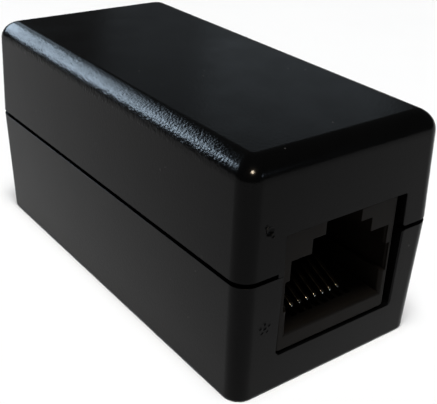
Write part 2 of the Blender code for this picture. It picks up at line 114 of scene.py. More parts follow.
PAD_RADIUS = 0.0012
PAD_TOP = BOARD_LOW.z - SEAT_GAP
PIN_RADIUS = 0.0006
PIN_FROM_EDGE = 0.0014
PIN_FROM_END = 0.0065
PIN_X = BOARD_HIGH.x - PIN_FROM_EDGE
PIN_Y = HALF_LENGTH - PIN_FROM_END
ROOT = 0.0005
RIB_THICKNESS = 0.0012
CROSS_RIB_WIDTH = 0.0160
HOOK_WIDTH = 0.0040
HOOK_THICKNESS = 0.0012
HOOK_OFFSET = 0.0125
HOOK_OUTER = INNER_X - SEAT_GAP
HOOK_BARB = 0.0007
BARB_DROP = 0.0020
BARB_FLAT = 0.0004
BARB_RAMP = 0.0011
BARB_TOP = PARTING - BARB_DROP
BARB_SHOULDER = BARB_TOP - BARB_FLAT
BARB_BOTTOM = BARB_SHOULDER - BARB_RAMP

DIMPLE_SEGMENTS = 48
DIMPLE_RINGS = 32

# A dimple's place across the end face, its height over the table, its radius and its depth.
LOWER_DIMPLES = (
    (-0.00890, 0.00790, 0.00026, 0.00010), (-0.00841, 0.00808, 0.00020, 0.00008),
    (-0.00895, 0.00842, 0.00021, 0.00008), (-0.00940, 0.00803, 0.00020, 0.00008),
    (-0.00920, 0.00747, 0.00021, 0.00008), (-0.00860, 0.00747, 0.00019, 0.00007))

# The case's grain is deepest on the round top edges and fades out towards the ends.
CASE_DARK = (0.0012, 0.0012, 0.0012)
CASE_LIGHT = (0.0018, 0.0018, 0.0018)
CASE_ROUGH = (0.15, 0.21)
CASE_IOR = 1.14
CASE_SURFACE = {
    "Grain Scale": 3800.0, "Grain Depth": 0.5, "Edge Depth": 3.0,
    "Wave Scale": 110.0, "Wave Depth": 0.08}
GRAIN_DETAIL = 2.0
GRAIN_HEIGHT = 0.00002
WAVE_DETAIL = 1.0
WAVE_HEIGHT = 0.0002
EDGE_GRAIN_REACH = 0.00105
EDGE_FADE = 0.0001
END_FADE = 0.0050
RUB_SCALE = 260.0
RUB_DETAIL = 3.0
MASK_LOW = 0.35
MASK_HIGH = 0.65
DUST_COLOUR = (0.045, 0.043, 0.040)
DUST_SCALE = 420.0
DUST_RIM = 0.045
DUST_CORE = 0.020


def corner_ring(half_x, half_y, corner, z):
    """A level rectangle with round corners."""
    points = []
    for quarter, (side_x, side_y) in enumerate(((1, 1), (-1, 1), (-1, -1), (1, -1))):
        for step in range(CORNER_STEPS + 1):
            turn = math.radians(90 * (quarter + step / CORNER_STEPS))
            x = side_x * (half_x - corner) + corner * math.cos(turn)
            y = side_y * (half_y - corner) + corner * math.sin(turn)
            points.append(Vector((x, y, z)))
    return points


def skin(form, rings):
    """Cover a stack of rings with faces and close both ends."""
    loops = [[form.verts.new(point) for point in ring] for ring in rings]
    for below, above in zip(loops, loops[1:]):
        for index in range(len(below)):
            after = (index + 1) % len(below)
            form.faces.new((below[index], below[after], above[after], above[index]))
    form.faces.new(loops[0][::-1])
    form.faces.new(loops[-1])


def moulded_form(half_x, half_y, base, tip, draft, corner, edge, rim=0.0):
    """A drafted block with a round edge at its tip and, if asked, a small one at its base."""
    form = bmesh.new()
    up = 1 if tip > base else -1
    tighter = min(corner - corner * LEAST_CORNER, edge)
    rings = []
    for step in range(SMALL_STEPS if rim else 0):
        turn = math.radians(90 * step / SMALL_STEPS)
        inset = rim * (1 - math.sin(turn))
        z = base + up * rim * (1 - math.cos(turn))
        rings.append(corner_ring(half_x - inset, half_y - inset, corner - inset, z))
    rings.append(corner_ring(half_x, half_y, corner, base + up * rim))
    lean = (abs(tip - base) - edge) * draft
    for step in range(EDGE_STEPS + 1):
        turn = math.radians(90 * step / EDGE_STEPS)
        share = 1 - math.cos(turn)
        inset = lean + edge * share
        radius = corner - tighter * share
        z = tip - up * edge * (1 - math.sin(turn))
        rings.append(corner_ring(half_x - inset, half_y - inset, radius, z))
    skin(form, rings)
    return form


def solid(name, form):
    """Turn a form into an object with its faces pointing out."""
    bmesh.ops.recalc_face_normals(form, faces=form.faces)
    mesh = bpy.data.meshes.new(name)
    form.to_mesh(mesh)
    form.free()
    piece = bpy.data.objects.new(name, mesh)
    bpy.context.scene.collection.objects.link(piece)
    return piece


def shape(piece, operation, form):
    """Join a form to a piece, or cut it away, for good."""
    tool = solid("tool", form)
    step = piece.modifiers.new(operation, "BOOLEAN")
    step.operation = operation
    step.solver = "EXACT"
    step.object = tool
    graph = bpy.context.evaluated_depsgraph_get()
    mesh = bpy.data.meshes.new_from_object(piece.evaluated_get(graph))
    piece.modifiers.clear()
    piece.data = mesh
    bpy.data.objects.remove(tool)


def box(form, low, high):
    """Add a block between two corners."""
    low = Vector(low)
    high = Vector(high)
    place = Matrix.Translation((low + high) / 2) @ Matrix.Diagonal((*(high - low), 1))
    bmesh.ops.create_cube(form, size=1, matrix=place)


def post(form, x, y, low, high, radius):
    """Add an upright round post."""
    bmesh.ops.create_cone(
        form, cap_ends=True, segments=POST_STEPS, radius1=radius, radius2=radius,
        depth=high - low, matrix=Matrix.Translation((x, y, (low + high) / 2)))


def smooth(piece):
    """Shade round faces smoothly and keep flat faces flat up to their edges."""
    form = bmesh.new()
    form.from_mesh(piece.data)
    bmesh.ops.remove_doubles(form, verts=form.verts, dist=WELD)
    form.to_mesh(piece.data)
    form.free()
    piece.data.shade_smooth()
    piece.data.set_sharp_from_angle(angle=SHARP_ANGLE)
    step = piece.modifiers.new("flat faces", "WEIGHTED_NORMAL")
    step.keep_sharp = True
    step.weight = FLAT_WEIGHT


def arc(centre, radius, first, last, steps):
    """Points on an arc between two angles in degrees."""
    turns = [math.radians(first + (last - first) * step / steps) for step in range(steps + 1)]
    return [(centre[0] + radius * math.cos(t), centre[1] + radius * math.sin(t)) for t in turns]


def window_outline(depth, corner):
    """A window's edge across and away from the rim, for someone who looks at it from outside."""
    stub = (WINDOW_FAR + WINDOW_STUB_RADIUS, WINDOW_STUB_RADIUS)
    points = [(-WINDOW_NEAR, -CUT_PAST)]
    points += arc((corner - WINDOW_NEAR, depth - corner), corner, 180, 90, SMALL_STEPS)
    points += arc((WINDOW_FAR - corner, depth - corner), corner, 90, 0, SMALL_STEPS)
    points += arc(stub, WINDOW_STUB_RADIUS, 180, 270, SMALL_STEPS * 2)
    points.append((WINDOW_FAR + WINDOW_STUB_RADIUS, -CUT_PAST))
    return points


def windows(rim, far, corner, draft, gap_flare, gap_flare_depth):
    """Cutters for both end windows of one shell, flared at the outer face, most at the gap."""
    form = bmesh.new()
    way = 1 if far > rim else -1
    outline = window_outline(abs(far - rim), corner)
    depths = sorted(
        {END_WALL + CUT_PAST, gap_flare_depth, WINDOW_FLARE, 0.0, -CUT_PAST}, reverse=True)
    for end in (-1, 1):
        rings = []
        for depth in depths:
            flare = max(0.0, WINDOW_FLARE - depth)
            ring = []
            for x, height in outline:
                side = gap_flare * max(0.0, 1 - depth / gap_flare_depth) if x > 0 else -flare
                rise = flare if height > abs(far - rim) / 2 else 0
                z = rim + way * (height + rise)
                lean = abs(z - PARTING) * draft
                ring.append(Vector((-end * (x + side), end * (HALF_LENGTH - lean - depth), z)))
            rings.append(ring)
        skin(form, rings)
    return form


def dimples(places):
    """Shallow round marks in both end faces, such as a mould's pins leave."""
    form = bmesh.new()
    for x, z, radius, depth in places:
        ball = (radius ** 2 + depth ** 2) / (2 * depth)
        lean = abs(z - PARTING) * LOWER_DRAFT
        for end in (-1, 1):
            y = end * (HALF_LENGTH - lean + ball - depth)
            bmesh.ops.create_uvsphere(
                form, u_segments=DIMPLE_SEGMENTS, v_segments=DIMPLE_RINGS, radius=ball,
                matrix=Matrix.Translation((-end * x, y, z)) @ Matrix.Rotation(math.pi / 2, 4, "X"))
    return form


def noise(tree, place, scale, detail):
    """Noise over object space, whose scale is a number or a socket."""
    node = tree.nodes.new("ShaderNodeTexNoise")
    if isinstance(scale, float):
        node.inputs["Scale"].default_value = scale
    else:
        tree.links.new(scale, node.inputs["Scale"])
    node.inputs["Detail"].default_value = detail
    tree.links.new(place, node.inputs["Vector"])
    return node.outputs["Fac"]


def bump(tree, height, strength, distance, normal=None):
    """Raise a surface by a height, on top of an earlier normal."""
    node = tree.nodes.new("ShaderNodeBump")
    node.inputs["Distance"].default_value = distance
    tree.links.new(height, node.inputs["Height"])
    tree.links.new(strength, node.inputs["Strength"])
    if normal:
        tree.links.new(normal, node.inputs["Normal"])
    return node.outputs["Normal"]


def make_grain_group():
    """Moulded grain, deeper round one height, slow waves, a rub mask and specks of dust."""
    tree = bpy.data.node_groups.new("moulded_grain", "ShaderNodeTree")
    for name in (
            "Grain Scale", "Grain Depth", "Edge Depth", "Edge Height", "Wave Scale", "Wave Depth"):
        tree.interface.new_socket(name, in_out="INPUT", socket_type="NodeSocketFloat")
    tree.interface.new_socket("Normal", in_out="OUTPUT", socket_type="NodeSocketVector")
    tree.interface.new_socket("Rub", in_out="OUTPUT", socket_type="NodeSocketFloat")
    tree.interface.new_socket("Dust", in_out="OUTPUT", socket_type="NodeSocketFloat")
    given = tree.nodes.new("NodeGroupInput").outputs
    result = tree.nodes.new("NodeGroupOutput").inputs
    place = tree.nodes.new("ShaderNodeTexCoord").outputs["Object"]
    fine = noise(tree, place, given["Grain Scale"], GRAIN_DETAIL)
    slow = noise(tree, place, given["Wave Scale"], WAVE_DETAIL)
    waves = bump(tree, slow, given["Wave Depth"], WAVE_HEIGHT)
    middle = tree.nodes.new("ShaderNodeCombineXYZ")
    tree.links.new(given["Edge Height"], middle.inputs["Z"])
    offset = tree.nodes.new("ShaderNodeVectorMath")
    offset.operation = "SUBTRACT"
    tree.links.new(place, offset.inputs[0])
    tree.links.new(middle.outputs["Vector"], offset.inputs[1])
    away = tree.nodes.new("ShaderNodeVectorMath")
    away.operation = "ABSOLUTE"
    tree.links.new(offset.outputs["Vector"], away.inputs[0])
    parts = tree.nodes.new("ShaderNodeSeparateXYZ")
    tree.links.new(away.outputs["Vector"], parts.inputs["Vector"])
    near = []
    for axis, reach, soft in (
            ("Y", HALF_LENGTH - CORNER_RADIUS, END_FADE), ("Z", EDGE_GRAIN_REACH, EDGE_FADE)):
        fade = tree.nodes.new("ShaderNodeMapRange")
        fade.inputs["From Min"].default_value = reach
        fade.inputs["From Max"].default_value = reach - soft
        tree.links.new(parts.outputs[axis], fade.inputs["Value"])
        near.append(fade.outputs["Result"])
    both = tree.nodes.new("ShaderNodeMath")
    both.operation = "MULTIPLY"
    tree.links.new(near[0], both.inputs[0])
    tree.links.new(near[1], both.inputs[1])
    depth = tree.nodes.new("ShaderNodeMapRange")
    tree.links.new(both.outputs["Value"], depth.inputs["Value"])
    tree.links.new(given["Grain Depth"], depth.inputs["To Min"])
    tree.links.new(given["Edge Depth"], depth.inputs["To Max"])
    grain = bump(tree, fine, depth.outputs["Result"], GRAIN_HEIGHT, waves)
    tree.links.new(grain, result["Normal"])
    tree.links.new(noise(tree, place, RUB_SCALE, RUB_DETAIL), result["Rub"])
    specks = tree.nodes.new("ShaderNodeTexVoronoi")
    specks.inputs["Scale"].default_value = DUST_SCALE
    tree.links.new(place, specks.inputs["Vector"])
    spot = tree.nodes.new("ShaderNodeMapRange")
    spot.inputs["From Min"].default_value = DUST_RIM
    spot.inputs["From Max"].default_value = DUST_CORE
    tree.links.new(specks.outputs["Distance"], spot.inputs["Value"])
    tree.links.new(spot.outputs["Result"], result["Dust"])
    return tree


def spread(tree, value, low, high):
    """Stretch the middle of a mask over a range of values."""
    node = tree.nodes.new("ShaderNodeMapRange")
    node.inputs["From Min"].default_value = MASK_LOW
    node.inputs["From Max"].default_value = MASK_HIGH
    node.inputs["To Min"].default_value = low
    node.inputs["To Max"].default_value = high
    tree.links.new(value, node.inputs["Value"])
    return node.outputs["Result"]


def tint(tree, mask, dark, light):
    """Mix two colours by a mask; the first may also be another mix."""
    node = tree.nodes.new("ShaderNodeMix")
    node.data_type = "RGBA"
    if isinstance(dark, tuple):
        node.inputs["A"].default_value = (*dark, 1.0)
    else:
        tree.links.new(dark, node.inputs["A"])
    node.inputs["B"].default_value = (*light, 1.0)
    tree.links.new(mask, node.inputs["Factor"])
    return node.outputs["Result"]


def moulded_plastic(name, dark, light, rough, gloss, values):
    """A moulded plastic: two close tones, a range of roughness, and values for the grain group."""
    material = bpy.data.materials.new(name)
    material.use_nodes = True
    tree = material.node_tree
    shader = tree.nodes["Principled BSDF"]
    shader.inputs["IOR"].default_value = gloss
    surface = tree.nodes.new("ShaderNodeGroup")
    surface.node_tree = grain_group
    surface.inputs["Edge Height"].default_value = CASE_TOP - EDGE_GRAIN_REACH
    for socket, value in values.items():
        surface.inputs[socket].default_value = value
    plain = tint(tree, surface.outputs["Rub"], dark, light)
    dusty = tint(tree, surface.outputs["Dust"], plain, DUST_COLOUR)
    rub = spread(tree, surface.outputs["Rub"], *rough)
    tree.links.new(surface.outputs["Normal"], shader.inputs["Normal"])
    tree.links.new(rub, shader.inputs["Roughness"])
    tree.links.new(dusty, shader.inputs["Base Color"])
    return material


def lip_form(gap, top):
    """The block that stands in the parting groove, or with a gap the rebate that takes it."""
    form = bmesh.new()
    inset = GROOVE_DEPTH - gap
    rings = [
        corner_ring(HALF_WIDTH - inset, HALF_LENGTH - inset, CORNER_RADIUS - inset, z)
        for z in (LOWER_RIM - ROOT, top)]
    skin(form, rings)
    return form


grain_group = make_grain_group()
rim_inset = (PARTING - LOWER_RIM) * LOWER_DRAFT
lower_shell = solid("lower_case_shell", moulded_form(
    HALF_WIDTH - rim_inset, HALF_LENGTH - rim_inset, LOWER_RIM, 0, LOWER_DRAFT, CORNER_RADIUS,
    BOTTOM_EDGE, RIM_EDGE))
shape(lower_shell, "UNION", lip_form(0, LIP_TOP))
hollow_inset = (LIP_TOP + CUT_PAST - PARTING) * LOWER_DRAFT
shape(lower_shell, "DIFFERENCE", moulded_form(
    INNER_X + hollow_inset, INNER_Y + hollow_inset, LIP_TOP + CUT_PAST, FLOOR_WALL, LOWER_DRAFT,
    INNER_RADIUS, INNER_RADIUS))
supports = bmesh.new()
pins = bmesh.new()
for x in (-PIN_X, PIN_X):
    for y in (-PIN_Y, PIN_Y):
        post(supports, x, y, FLOOR_WALL - ROOT, PAD_TOP, PAD_RADIUS)
        post(pins, x, y, FLOOR_WALL, BOARD_HIGH.z, PIN_RADIUS)
box(supports, (-CROSS_RIB_WIDTH / 2, -RIB_THICKNESS / 2, FLOOR_WALL - ROOT),
    (CROSS_RIB_WIDTH / 2, RIB_THICKNESS / 2, PAD_TOP))
shape(lower_shell, "UNION", supports)
shape(lower_shell, "UNION", pins)
pockets = bmesh.new()
for side in (-1, 1):
    faces = sorted((side * (INNER_X - CUT_PAST), side * (HOOK_OUTER + HOOK_BARB + SEAT_GAP)))
    for y in (-HOOK_OFFSET, HOOK_OFFSET):
        reach = HOOK_WIDTH / 2 + SEAT_GAP
        box(pockets, (faces[0], y - reach, BARB_BOTTOM - SEAT_GAP),
            (faces[1], y + reach, BARB_TOP + SEAT_GAP))
shape(lower_shell, "DIFFERENCE", pockets)
shape(lower_shell, "DIFFERENCE", windows(
    LOWER_RIM, WINDOW_LOW, LOWER_WINDOW_CORNER, LOWER_DRAFT, LOWER_GAP_FLARE,
    LOWER_GAP_FLARE_DEPTH))
lip_gates = bmesh.new()
for end in (-1, 1):
    sides = sorted((end * WINDOW_NEAR, -end * WINDOW_FAR))
    faces = sorted((end * (HALF_LENGTH + CUT_PAST), end * (INNER_Y - CUT_PAST)))
    box(lip_gates, (sides[0], faces[0], LOWER_RIM - CUT_PAST), (sides[1], faces[1], LIP_TOP + ROOT))
shape(lower_shell, "DIFFERENCE", lip_gates)
shape(lower_shell, "DIFFERENCE", dimples(LOWER_DIMPLES))
smooth(lower_shell)
case_plastic = moulded_plastic(
    "case_plastic", CASE_DARK, CASE_LIGHT, CASE_ROUGH, CASE_IOR, CASE_SURFACE)
lower_shell.data.materials.append(case_plastic)
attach(lower_shell, "root")
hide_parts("lower_shell")

# Circuit board: a green lacquered glass-fibre board that joins the eight lines straight
# through. It lies on the lower shell's pads, over its four pins, and both jacks stand on it.
LACQUER_DARK = (0.012, 0.080, 0.030)
LACQUER_LIGHT = (0.026, 0.135, 0.055)
LACQUER_SCALE = 300.0
LACQUER_DETAIL = 3.0
SHEEN_ROUGH = (0.32, 0.48)
SHEEN_SCALE = 900.0
SHEEN_DETAIL = 2.0
WEAVE_SCALE = 1400.0
WEAVE_DISTORTION = 0.6
WEAVE_STRENGTH = 0.2
WEAVE_HEIGHT = 0.00002


def woven_laminate(name):
    """Glass cloth under green lacquer."""
    material = bpy.data.materials.new(name)
    material.use_nodes = True
    tree = material.node_tree
    shader = tree.nodes["Principled BSDF"]
    place = tree.nodes.new("ShaderNodeTexCoord").outputs["Object"]
    threads = []
    for direction in ("X", "Y"):
        wave = tree.nodes.new("ShaderNodeTexWave")
        wave.bands_direction = direction
        wave.inputs["Scale"].default_value = WEAVE_SCALE
        wave.inputs["Distortion"].default_value = WEAVE_DISTORTION
        tree.links.new(place, wave.inputs["Vector"])
        threads.append(wave.outputs["Fac"])
    weave = tree.nodes.new("ShaderNodeMath")
    weave.operation = "MULTIPLY"
    tree.links.new(threads[0], weave.inputs[0])
    tree.links.new(threads[1], weave.inputs[1])
    relief = tree.nodes.new("ShaderNodeBump")
    relief.inputs["Strength"].default_value = WEAVE_STRENGTH
    relief.inputs["Distance"].default_value = WEAVE_HEIGHT
    tree.links.new(weave.outputs["Value"], relief.inputs["Height"])
    tree.links.new(relief.outputs["Normal"], shader.inputs["Normal"])
    cloud = noise(tree, place, LACQUER_SCALE, LACQUER_DETAIL)
    tree.links.new(tint(tree, cloud, LACQUER_DARK, LACQUER_LIGHT), shader.inputs["Base Color"])
    sheen = noise(tree, place, SHEEN_SCALE, SHEEN_DETAIL)
    tree.links.new(spread(tree, sheen, *SHEEN_ROUGH), shader.inputs["Roughness"])
    return material


def finish_node(name, material):
    """Give a solid of the model its finish."""
    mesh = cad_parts[name].data
    mesh.materials.clear()
    mesh.materials.append(material)


finish_node("circuit_board", woven_laminate("board_laminate"))

# Jack bodies: one moulded black insert at each end, with the plug's opening, the two-step
# latch notch, eight slots for the contact wires and two pegs that snap into the board.
JACK_HEIGHT = JACK_HIGH.z - JACK_BOTTOM
JACK_SPACING = 0.0082
JACK_DEPTH = HALF_LENGTH - JACK_SPACING / 2
JACK_RECESS = 0.0004
JACK_CORNER = 0.0004
JACK_FACE_EDGE = 0.00020
JACK_GAP_EDGE = 0.00038
MOUTH_RADIUS = 0.00045
MOUTH_EASE = 0.00008

PLUG_HALF = 0.00605
PLUG_HEIGHT = 0.0076
PLUG_DEPTH = 0.0136
PLUG_FLOOR = 0.0019
PLUG_TOP = PLUG_FLOOR + PLUG_HEIGHT
PLUG_END = JACK_RECESS + PLUG_DEPTH
SIDE_GROOVE_CUT = 0.0005
SIDE_GROOVE_FROM = 0.0025
SIDE_GROOVE_TO = 0.00555
SIDE_GROOVE = PLUG_HALF + SIDE_GROOVE_CUT
GROOVE_LOW = PLUG_FLOOR + SIDE_GROOVE_FROM
GROOVE_HIGH = PLUG_FLOOR + SIDE_GROOVE_TO
LATCH_HALF = 0.0037
LATCH_STEP = 0.00155
LATCH_TOP = PLUG_TOP + LATCH_STEP
LEVER_HALF = 0.0022
LEDGE_THICKNESS = 0.0015
LEDGE_END = JACK_RECESS + LEDGE_THICKNESS
CHAMBER_DEPTH = 0.0096
CHAMBER_EASE = 0.0002
CHAMBER_END = JACK_RECESS + CHAMBER_DEPTH
CHAMBER_HALF = LATCH_HALF + CHAMBER_EASE

CONTACT_COUNT = 8
CONTACT_PITCH = 0.001016
SLOT_SETBACK = 0.0016
SLOT_START = JACK_RECESS + SLOT_SETBACK
SLOT_FLOOR = 0.00045
SLOT_HALF = 0.00033
BACK_WALL = 0.0010
POCKET_START = PLUG_END + BACK_WALL
COMB_MARGIN = 0.0009
COMB_HALF = (CONTACT_COUNT - 1) * CONTACT_PITCH / 2 + COMB_MARGIN
COMB_TOP = 0.0060
RAIL_WIDTH = 0.0006
COMB_RAIL = COMB_HALF + RAIL_WIDTH
RAIL_LOW = 0.0030
RAIL_HIGH = 0.0042
PEG_X = 0.0053
PEG_DEPTH = 0.0090
PEG_RADIUS = 0.0013

# The jack's near-black tones carry a brownish tint that is a painted warm reflection.
JACK_DARK = (0.0042, 0.0034, 0.0027)
JACK_LIGHT = (0.0056, 0.0046, 0.0037)
JACK_ROUGH = (0.28, 0.36)
JACK_IOR = 1.11
JACK_SURFACE = {
    "Grain Scale": 3000.0, "Grain Depth": 0.3, "Edge Depth": 0.3,
    "Wave Scale": 300.0, "Wave Depth": 0.08}

# A port's place turns its own frame, where y runs in from the end face, into the model's.
PORTS = {
    "front": Matrix.Translation((0, -HALF_LENGTH, JACK_BOTTOM)),
    "rear": Matrix.Translation((0, HALF_LENGTH, JACK_BOTTOM)) @ Matrix.Rotation(math.pi, 4, "Z"),
}


def with_mirror(right):
    """Close an outline whose right side is given."""
    return right + [(-x, z) for x, z in reversed(right)]


def bar(form, outline, start, end):
    """Extrude an outline in X and Z along Y."""
    skin(form, [[Vector((x, y, z)) for x, z in outline] for y in (start, end)])


def plug_outline(flare):
    """The plug's opening with its side grooves; its lower part opens most at the mouth."""
    ease = min(flare, MOUTH_EASE)
    return with_mirror([
        (PLUG_HALF + flare, PLUG_FLOOR - flare),
        (PLUG_HALF + flare, GROOVE_LOW - ease),
        (SIDE_GROOVE + ease, GROOVE_LOW - ease),
        (SIDE_GROOVE + ease, GROOVE_HIGH + ease),
        (PLUG_HALF + ease, GROOVE_HIGH + ease),
        (PLUG_HALF + ease, PLUG_TOP + ease),
    ])


def latch_outline(ease):
    """The two steps over the plug's opening, open at the jack's top."""
    return with_mirror([
        (LATCH_HALF + ease, PLUG_TOP - CUT_PAST),
        (LATCH_HALF + ease, LATCH_TOP + ease),
        (LEVER_HALF + ease, LATCH_TOP + ease),
        (LEVER_HALF + ease, JACK_HEIGHT + CUT_PAST),
    ])


def rounded_mouth(outline, radius, end):
    """A cutter whose outline opens round at the jack's face."""
    rings = [(JACK_RECESS - CUT_PAST, radius)]
    for step in range(EDGE_STEPS + 1):
        turn = math.radians(90 * step / EDGE_STEPS)
        rings.append((JACK_RECESS + radius * (1 - math.cos(turn)), radius * (1 - math.sin(turn))))
    rings.append((end, 0))
    form = bmesh.new()
    skin(form, [[Vector((x, y, z)) for x, z in outline(flare)] for y, flare in rings])
    return form


def round_inset(radius, depth):
    """How far a round edge stands back at a depth behind the face."""
    rest = radius - min(depth, radius)
    return radius - math.sqrt(radius ** 2 - rest ** 2)


def jack_block():
    """The jack's block, with round edges at its face, the largest beside the wide gap."""
    middle = JACK_HEIGHT / 2
    depths = [
        JACK_GAP_EDGE * (1 - math.cos(math.radians(90 * step / EDGE_STEPS)))
        for step in range(EDGE_STEPS + 1)]
    rings = []
    for depth in (*depths, JACK_DEPTH - JACK_RECESS):
        inset = round_inset(JACK_FACE_EDGE, depth)
        more = round_inset(JACK_GAP_EDGE, depth) - inset
        ring = corner_ring(JACK_HALF - inset, middle - inset, JACK_CORNER - inset, 0)
        rings.append([
            Vector((point.x - (more if point.x > 0 else 0), JACK_RECESS + depth, middle + point.y))
            for point in ring])
    form = bmesh.new()
    skin(form, rings)
    return form


def contact_places():
    """Where the contacts stand across the port."""
    return [(index - (CONTACT_COUNT - 1) / 2) * CONTACT_PITCH for index in range(CONTACT_COUNT)]


def make_jack(name):
    """One jack body in its port's own frame: y runs in from the end face, z up from its foot."""
    jack = solid(name, jack_block())
    shape(jack, "DIFFERENCE", rounded_mouth(plug_outline, MOUTH_RADIUS, PLUG_END))
    shape(jack, "DIFFERENCE", rounded_mouth(latch_outline, MOUTH_EASE, LEDGE_END + CUT_PAST))
    inside = bmesh.new()
    box(inside, (-CHAMBER_HALF, LEDGE_END, PLUG_TOP - CUT_PAST),
        (CHAMBER_HALF, CHAMBER_END, JACK_HEIGHT + CUT_PAST))
    shape(jack, "DIFFERENCE", inside)
    slots = bmesh.new()
    for x in contact_places():
        box(slots, (x - SLOT_HALF, SLOT_START, SLOT_FLOOR),
            (x + SLOT_HALF, POCKET_START + CUT_PAST, PLUG_FLOOR + CUT_PAST / 2))
    shape(jack, "DIFFERENCE", slots)
    pocket = bmesh.new()
    bar(pocket, with_mirror([
        (COMB_HALF + SEAT_GAP, -CUT_PAST),
        (COMB_HALF + SEAT_GAP, RAIL_LOW - SEAT_GAP),
        (COMB_RAIL + SEAT_GAP, RAIL_LOW - SEAT_GAP),
        (COMB_RAIL + SEAT_GAP, RAIL_HIGH + SEAT_GAP),
        (COMB_HALF + SEAT_GAP, RAIL_HIGH + SEAT_GAP),
        (COMB_HALF + SEAT_GAP, COMB_TOP + SEAT_GAP),
    ]), POCKET_START, JACK_DEPTH + CUT_PAST)
    shape(jack, "DIFFERENCE", pocket)
    pegs = bmesh.new()
    for x in (-PEG_X, PEG_X):
        post(pegs, x, PEG_DEPTH, BOARD_LOW.z - JACK_BOTTOM, ROOT, PEG_RADIUS)
    shape(jack, "UNION", pegs)
    return jack


jack_plastic = moulded_plastic(
    "jack_plastic", JACK_DARK, JACK_LIGHT, JACK_ROUGH, JACK_IOR, JACK_SURFACE)
for end, place in PORTS.items():
    jack = make_jack(end + "_jack")
    jack.data.transform(place)
    smooth(jack)
    jack.data.materials.append(jack_plastic)
    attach(jack, "root")
    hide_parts(end + "_jack_body")

# Contact combs: plain dark inserts that slide into the back of each jack on two rails and
# trap the wires in their channels. They keep the model's solids and only get their finish.
COMB_DARK = (0.012, 0.012, 0.013)
COMB_LIGHT = (0.018, 0.018, 0.019)
COMB_ROUGH = (0.40, 0.50)
COMB_IOR = 1.4
COMB_SURFACE = {
    "Grain Scale": 3000.0, "Grain Depth": 0.2, "Edge Depth": 0.2,
    "Wave Scale": 300.0, "Wave Depth": 0.1}

comb_plastic = moulded_plastic(
    "comb_plastic", COMB_DARK, COMB_LIGHT, COMB_ROUGH, COMB_IOR, COMB_SURFACE)
for end in PORTS:
    finish_node(end + "_contact_comb", comb_plastic)

# Contacts: eight springs in each jack, cut from flat bronze wire and plated with gold. Each
# runs from its tail in the board along a slot, bends back near the mouth and rises at 25
# degrees. Every second tail is soldered one row further in.
WIRE_WIDTH = 0.00042
WIRE_THICKNESS = 0.00030
WIRE_CORNER = 0.00005
WIRE_CORNER_STEPS = 3
RUN_HEIGHT = 0.0008
BEND_SETBACK = 0.0031
BEND_RADIUS = 0.0006
BEND_STEPS = 14
BEND_MIDDLE = JACK_RECESS + BEND_SETBACK + BEND_RADIUS
SPRING_RISE = math.radians(25)
SPRING_LENGTH = 0.0066
LEG_RADIUS = 0.0004
TAIL_DEPTH = 0.0162
TAIL_STAGGER = 0.00254
TAIL_LENGTH = 0.0006
TAIL_TIP = BOARD_LOW.z - JACK_BOTTOM - TAIL_LENGTH

# The gold's thin lines run along the wire, so its noise is stretched that way.
# Both gold colours are darkened far below real gold as painted shade, so the contacts look dim deep
# in the socket; the duller patches are wear.
SHADED_GOLD_PALE = (0.13, 0.117, 0.095)
SHADED_GOLD_WORN = (0.08, 0.071, 0.056)
GOLD_ROUGH = (0.13, 0.18)
PATCH_SCALE = 1800.0
PATCH_DETAIL = 3.0
DRAWN_STRETCH = (12.0, 1.0, 12.0)
DRAWN_SCALE = 1500.0
DRAWN_DETAIL = 2.0
DRAWN_STRENGTH = 0.15
DRAWN_HEIGHT = 0.00001


def spring_line():
    """The middle line of one contact as straight runs, with the radius of each of its bends."""
    tangent = BEND_RADIUS / math.tan(SPRING_RISE / 2)
    turn_back = BEND_MIDDLE - tangent
    reach = tangent + SPRING_LENGTH
    knots = (
        ((TAIL_DEPTH, TAIL_TIP), 0.0, 1.0),
        ((TAIL_DEPTH, RUN_HEIGHT), LEG_RADIUS, 1.0),
        ((turn_back, RUN_HEIGHT), BEND_RADIUS, 0.0),
        ((turn_back + reach * math.cos(SPRING_RISE),
          RUN_HEIGHT + reach * math.sin(SPRING_RISE)), 0.0, 0.0))
    mesh = bpy.data.meshes.new("spring_line")
    points = [(0, *spot) for spot, bend, tail in knots]
    mesh.from_pydata(points, [(index, index + 1) for index in range(len(points) - 1)], [])
    for name, values in (
            ("bend_radius", [bend for spot, bend, tail in knots]),
            ("is_tail", [tail for spot, bend, tail in knots])):
        layer = mesh.attributes.new(name, "FLOAT", "POINT")
        layer.data.foreach_set("value", values)
    return mesh


